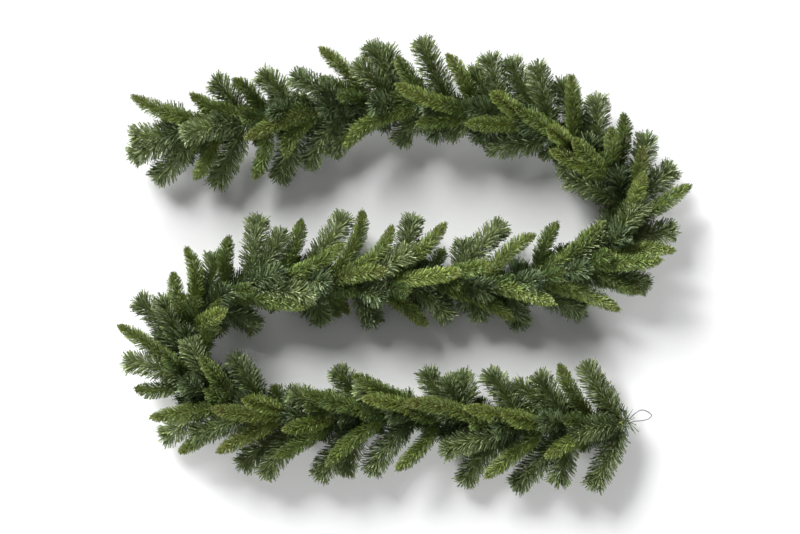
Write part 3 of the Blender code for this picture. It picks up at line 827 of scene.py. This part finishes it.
class DarkNeedleSettings(PropertyGroup):
    """Sizes and colours of the dark sprays"""

    length: metres("Length", "Length of a needle", 0.0292)
    width: metres("Half width", "Half of a needle's width", 0.00085)
    per_metre: amount("Needles a metre", "Needles on a metre of stem", 6300)
    spread: degrees("Spread", "Angle from the stem at its foot", 60)
    end_spread: degrees("End spread", "Angle from the stem at its end", 48)
    scatter: degrees("Scatter", "How far needles stray from that angle", 7)
    taper: amount("Taper", "Share of its length that a needle at the spray's end lacks", 0.05)
    tuft_needles: amount("Tuft needles", "Needles in the tuft at the end", 100)
    tuft_spread: degrees("Tuft spread", "Widest angle of the tuft", 60)
    tuft: amount("Tuft length", "Length of the tuft's needles, against the rest", 0.86)
    tuft_point: amount("Tuft point", "Share of its length that the tuft's outer needle lacks", 0.1)
    tuft_shade: amount("Tuft shade", "How much darker the tuft is", 0.25)
    bloom_share: amount("Bloom", "Share of needles with a grey bloom", 0.40)
    end_brown: amount("Brown end", "Share of brown at a spray's end", 0.05)
    # Painted light and shade: a spray darker at its foot deep in the garland and lighter at its end
    painted_end_light: amount("Light end", "How much lighter a spray is at its end than at its foot", 0.25)
    root_colour: paint("Root colour", "Where needles leave the stem", (0.186, 0.212, 0.052))
    middle_colour: paint("Middle colour", "A needle's middle", (0.136, 0.182, 0.058))
    tip_colour: paint("Tip colour", "A needle's tip", (0.158, 0.204, 0.078))
    bloom_colour: paint("Bloom colour", "Greyish bloom on some needles", (0.266, 0.330, 0.176))
    bark_colour: paint("Bark colour", "Brown stems and ends", (0.138, 0.121, 0.048))


class PaleNeedleSettings(PropertyGroup):
    """Sizes and colours of the pale sprays"""

    length: metres("Length", "Length of a needle", 0.020)
    width: metres("Half width", "Half of a needle's width", 0.0007)
    per_metre: amount("Needles a metre", "Needles on a metre of stem", 7000)
    spread: degrees("Spread", "Angle from the stem at its foot", 52)
    end_spread: degrees("End spread", "Angle from the stem at its end", 44)
    scatter: degrees("Scatter", "How far needles stray from that angle", 5)
    taper: amount("Taper", "Share of its length that a needle at the spray's end lacks", 0.55)
    tuft_needles: amount("Tuft needles", "Needles in the tuft at the end", 95)
    tuft_spread: degrees("Tuft spread", "Widest angle of the tuft", 38)
    tuft: amount("Tuft length", "Length of the tuft's needles, against the rest", 0.72)
    tuft_point: amount("Tuft point", "Share of its length that the tuft's outer needle lacks", 0.45)
    tuft_shade: amount("Tuft shade", "How much darker the tuft is", 0.15)
    bloom_share: amount("Bloom", "Share of needles with a light bloom", 0.25)
    end_brown: amount("Brown end", "Share of brown at a spray's end", 0.3)
    # Painted light and shade: a spray darker at its foot deep in the garland and lighter at its end
    painted_end_light: amount("Light end", "How much lighter a spray is at its end than at its foot", 0.12)
    root_colour: paint("Root colour", "Where needles leave the stem", (0.138, 0.126, 0.027))
    middle_colour: paint("Middle colour", "A needle's middle", (0.132, 0.184, 0.036))
    tip_colour: paint("Tip colour", "A needle's tip", (0.174, 0.232, 0.054))
    bloom_colour: paint("Bloom colour", "Lighter bloom on some needles", (0.242, 0.318, 0.125))
    bark_colour: paint("Bark colour", "Brown stems and ends", (0.178, 0.143, 0.043))


class WireSettings(PropertyGroup):
    """Sizes and colours of the core wire and the hanging loop"""

    strand: metres("Strand", "Radius of one strand", 0.00095)
    pitch: metres("Pitch", "Length of one full twist", 0.014)
    coat_colour: paint("Coat colour", "Dull grey coat", (0.048, 0.050, 0.048))
    steel_colour: paint("Steel colour", "Bare steel where the coat is worn", (0.17, 0.17, 0.164))


class StageSettings(PropertyGroup):
    """Floor, light and camera"""

    camera_height: metres("Camera height", "Above the table", 4.5)
    floor_size: metres("Floor", "Side of the floor", 9.0)
    floor_colour: paint("Floor colour", "Matt white", (0.88, 0.88, 0.885))
    key_strength: amount("Key", "Strength of the light from the upper left", 10.8)
    key_angle: degrees("Key size", "Angle that the key fills", 36)
    fill_strength: amount("Fill", "Strength of the light from the near side", 4.2)
    fill_angle: degrees("Fill size", "Angle that the fill fills", 24)
    room_strength: amount("Room", "Strength of the light from all round", 0.18)


# Pieces


def add_piece(name, mesh, material, slot, *nodes):
    """Set a finished piece in the frame, in place of the nodes it stands for."""
    bmesh.ops.translate(mesh, verts=mesh.verts, vec=plan().shift)
    data = bpy.data.meshes.new(name)
    mesh.to_mesh(data)
    mesh.free()
    data.materials.append(material)
    piece = bpy.data.objects.new(name, data)
    bpy.context.scene.collection.objects.link(piece)
    if nodes:
        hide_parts(*nodes)
    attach(piece, "root")


def grown_mesh():
    """An empty mesh whose vertices can tell how they grew."""
    mesh = bmesh.new()
    mesh.verts.layers.float_color.new(GROWTH)
    return mesh


def spray_tint(bunch, index, draw):
    """How light a spray is in its kind, with painted light on the sprays that rise towards the lamps.
    """
    if (bunch, index) in PAINTED_LIGHT_SPRAYS:
        return PAINTED_LIGHT_TINT
    if (bunch, index) in PLAIN_SPRAYS:
        return PLAIN_TINT
    return draw.uniform(*USUAL_TINT)


def bind(mesh, wire, place):
    """The turns of stem wire that hold a bunch on the core wire."""
    along = wire.along(place)
    start = len(mesh.verts)
    centre = wire.at(place) - along * COLLAR_LENGTH / 2
    side = along.cross(UP).normalized()
    radius = COLLAR_LENGTH / BIND_TURNS / 2
    steps = BIND_TURNS * BIND_STEPS
    place_of_circle = (
        Matrix.Translation(centre + side * (WIRE_RADIUS + radius))
        @ Matrix.Rotation(math.pi / 2, 4, along.cross(side))
        @ along.to_track_quat("X", "Z").to_matrix().to_4x4()
    )
    circle = bmesh.ops.create_circle(
        mesh, cap_ends=True, segments=BIND_SIDES, radius=radius, matrix=place_of_circle
    )["verts"]
    # Its edges are given too, and then the spin leaves no faces inside the wire
    geometry = [*circle, *{edge for vert in circle for edge in vert.link_edges}]
    geometry += list({face for vert in circle for face in vert.link_faces})
    bmesh.ops.spin(
        mesh, geom=geometry, cent=centre, axis=along, dvec=along * COLLAR_LENGTH / steps,
        angle=2 * math.pi * BIND_TURNS, steps=steps,
    )
    mark_growth(mesh, start, BIND_GROWTH)


def build_bunches(kind, look, material):
    """Every bunch of one kind, with its fillers and its binding."""
    wire, sprays, _ = plan()
    for number, place in enumerate(wire.bunch_places):
        own = [spray for spray in sprays if spray.bunch == number]
        if own[0].kind != kind:
            continue
        draw = np.random.default_rng(SEED * SEEDS_APART + number)
        mesh = grown_mesh()
        bind(mesh, wire, place)
        needles = []
        for spray in own:
            tint = spray_tint(number, spray.number, draw)
            brown = float((number, spray.number) in BROWN_SPRAYS)
            add_stem(mesh, spray.path, kind.stem, tint, brown)
            needles.append(spray_needles(spray.path, look, draw, tint, brown))
        for lean, low, high in FILLERS:
            filler = (
                lean + draw.uniform(*FILLER_STRAY),
                draw.uniform(*FILLER_REACH),
                draw.uniform(low, high),
                draw.uniform(*FILLER_CURL),
            )
            path = stem_path(wire, place, kind, filler, 0)
            # Fillers lie under the other sprays and are darker: painted shade
            tint = draw.uniform(*PAINTED_SHADE_TINT)
            add_stem(mesh, path, kind.stem, tint, 0)
            needles.append(spray_needles(path, look, draw, tint, 0, FILLER_NEEDLES))
        add_needles(mesh, joined(needles))
        name = f"{kind.name}_bunch_{number // 2 + 1:02d}"
        add_piece(name + "_sprays", mesh, material, kind.name + "_needles", name)


class GARLAND_OT_stage(Operator):
    """Lay the white floor and set the lights and the camera"""

    bl_idname = "garland.stage"
    bl_label = "Stage"

    def execute(self, context):
        look = context.scene.garland_stage
        context.scene.view_settings.view_transform = "Standard"
        bpy.ops.mesh.primitive_plane_add(size=look.floor_size)
        floor = context.object
        floor.name = "floor"
        material = bpy.data.materials.new("Matt white floor")
        material.use_nodes = True
        shader = material.node_tree.nodes["Principled BSDF"]
        shader.inputs["Base Color"].default_value = (*look.floor_colour, 1)
        shader.inputs["Roughness"].default_value = 0.9
        floor.data.materials.append(material)

        world = bpy.data.worlds.new("Room")
        world.use_nodes = True
        world.node_tree.nodes["Background"].inputs["Color"].default_value = (1, 1, 1, 1)
        world.node_tree.nodes["Background"].inputs["Strength"].default_value = look.room_strength
        context.scene.world = world

        lamps = (
            ("key", look.key_strength, look.key_angle, KEY_WAY),
            ("fill", look.fill_strength, look.fill_angle, FILL_WAY),
        )
        for name, strength, breadth, way in lamps:
            lamp = bpy.data.objects.new(name, bpy.data.lights.new(name, "SUN"))
            lamp.data.energy = strength
            lamp.data.angle = breadth
            lamp.rotation_euler = Vector(way).to_track_quat("-Z", "Y").to_euler()
            context.scene.collection.objects.link(lamp)

        camera = bpy.data.objects.new("camera", bpy.data.cameras.new("camera"))
        camera.data.sensor_width = SENSOR_WIDTH
        camera.data.lens = SENSOR_WIDTH * (look.camera_height - WIRE_HEIGHT) / FRAME_WIDTH
        camera.location = (plan().shift.x, plan().shift.y, look.camera_height)
        context.scene.collection.objects.link(camera)
        context.scene.camera = camera
        return {"FINISHED"}


class GARLAND_OT_core_wire(Operator):
    """Twist two strands together along the garland's run"""

    bl_idname = "garland.core_wire"
    bl_label = "Core wire"

    def execute(self, context):
        look = context.scene.garland_wire
        wire, _, _ = plan()
        mesh = bmesh.new()
        steps = int(wire.length / look.pitch * STRAND_STEPS)
        for phase in (0, math.pi):
            points = []
            for step in range(steps + 1):
                mark = wire.length * step / steps
                turn = phase + 2 * math.pi * step / STRAND_STEPS
                along = wire.along(mark)
                side = along.cross(UP).normalized()
                top = side.cross(along)
                outward = math.cos(turn) * side + math.sin(turn) * top
                points.append(wire.at(mark) + look.strand * outward)
            add_solid(mesh, tube("strand", points, look.strand, 1))
        add_piece("core_wire_strands", mesh, wire_material(), "wire", "core_wire")
        return {"FINISHED"}


class GARLAND_OT_wire_needles(Operator):
    """Set short dark needles all along the core wire"""

    bl_idname = "garland.wire_needles"
    bl_label = "Needles on the core wire"

    def execute(self, context):
        look = context.scene.garland_dark
        wire, _, _ = plan()
        draw = np.random.default_rng(SEED)
        count = int(wire.length * WIRE_NEEDLES_PER_METRE)
        marks = wire.length * (np.arange(count) + draw.random(count)) / count
        centre, along = follow(wire.points, marks)
        spread = np.radians(draw.uniform(*WIRE_NEEDLE_SPREAD, count))
        last = wire.length - marks < WIRE_END
        spread[last] = np.radians(draw.uniform(*WIRE_END_SPREAD, last.sum()))
        reach = look.length * draw.uniform(*WIRE_NEEDLE_LENGTHS, count)
        tips = fanned(centre, -along, GOLDEN_TURN * np.arange(count), spread, reach)
        needles = Needles(
            root=centre,
            tip=bent_off_table(tips, draw),
            roll=draw.uniform(0, math.pi, count),
            width=np.full(count, look.width),
            shade=draw.random(count),
            # Darker like the fillers: painted shade under the sprays
            tint=draw.uniform(*PAINTED_SHADE_TINT, count),
            wood=np.zeros(count),
        )
        mesh = grown_mesh()
        add_needles(mesh, needles)
        add_piece("wire_needles", mesh, bpy.data.materials["Dark needles"], "dark_needles")
        return {"FINISHED"}


class GARLAND_OT_hanging_loop(Operator):
    """Bend the thin wire loop, its legs beside the core wire's end"""

    bl_idname = "garland.hanging_loop"
    bl_label = "Hanging loop"

    def execute(self, context):
        wire, _, _ = plan()
        along = wire.along(wire.length)
        left = UP.cross(along).normalized()
        end = wire.at(wire.length)
        outline = [end + along * out + left * aside for out, aside in LOOP_OUTLINE]
        path = smooth_run(outline, LOOP_STEPS)
        mesh = bmesh.new()
        add_solid(mesh, tube("bent_wire", path, LOOP_WIRE_RADIUS, 2))
        add_piece("hanging_loop_wire", mesh, wire_material(), "wire", "hanging_loop")
        return {"FINISHED"}


class GARLAND_OT_dark_bunches(Operator):
    """Grow the bunches of dark sprays"""

    bl_idname = "garland.dark_bunches"
    bl_label = "Dark bunches"

    def execute(self, context):
        look = context.scene.garland_dark
        build_bunches(DARK, look, needle_material("Dark needles", look))
        return {"FINISHED"}


class GARLAND_OT_pale_bunches(Operator):
    """Grow the bunches of pale sprays"""

    bl_idname = "garland.pale_bunches"
    bl_label = "Pale bunches"

    def execute(self, context):
        look = context.scene.garland_pale
        build_bunches(PALE, look, needle_material("Pale needles", look))
        return {"FINISHED"}


STEPS = (
    GARLAND_OT_stage,
    GARLAND_OT_core_wire,
    GARLAND_OT_hanging_loop,
    GARLAND_OT_dark_bunches,
    GARLAND_OT_pale_bunches,
    GARLAND_OT_wire_needles,
)


class GARLAND_PT_panel(Panel):
    """The garland's steps, in order"""

    bl_label = "Door garland"
    bl_idname = "GARLAND_PT_panel"
    bl_space_type = "VIEW_3D"
    bl_region_type = "UI"
    bl_category = "Garland"

    def draw(self, context):
        for step in STEPS:
            self.layout.operator(step.bl_idname)


SETTINGS = {
    "garland_dark": DarkNeedleSettings,
    "garland_pale": PaleNeedleSettings,
    "garland_wire": WireSettings,
    "garland_stage": StageSettings,
}


def register():
    for cls in (*SETTINGS.values(), *STEPS, GARLAND_PT_panel):
        bpy.utils.register_class(cls)
    for name, cls in SETTINGS.items():
        setattr(bpy.types.Scene, name, PointerProperty(type=cls))


def unregister():
    for name in SETTINGS:
        delattr(bpy.types.Scene, name)
    for cls in reversed((*SETTINGS.values(), *STEPS, GARLAND_PT_panel)):
        bpy.utils.unregister_class(cls)


def main():
    register()
    bpy.ops.garland.stage()
    bpy.ops.garland.core_wire()
    bpy.ops.garland.hanging_loop()
    bpy.ops.garland.dark_bunches()
    bpy.ops.garland.pale_bunches()
    bpy.ops.garland.wire_needles()


if __name__ == "__main__":
    main()
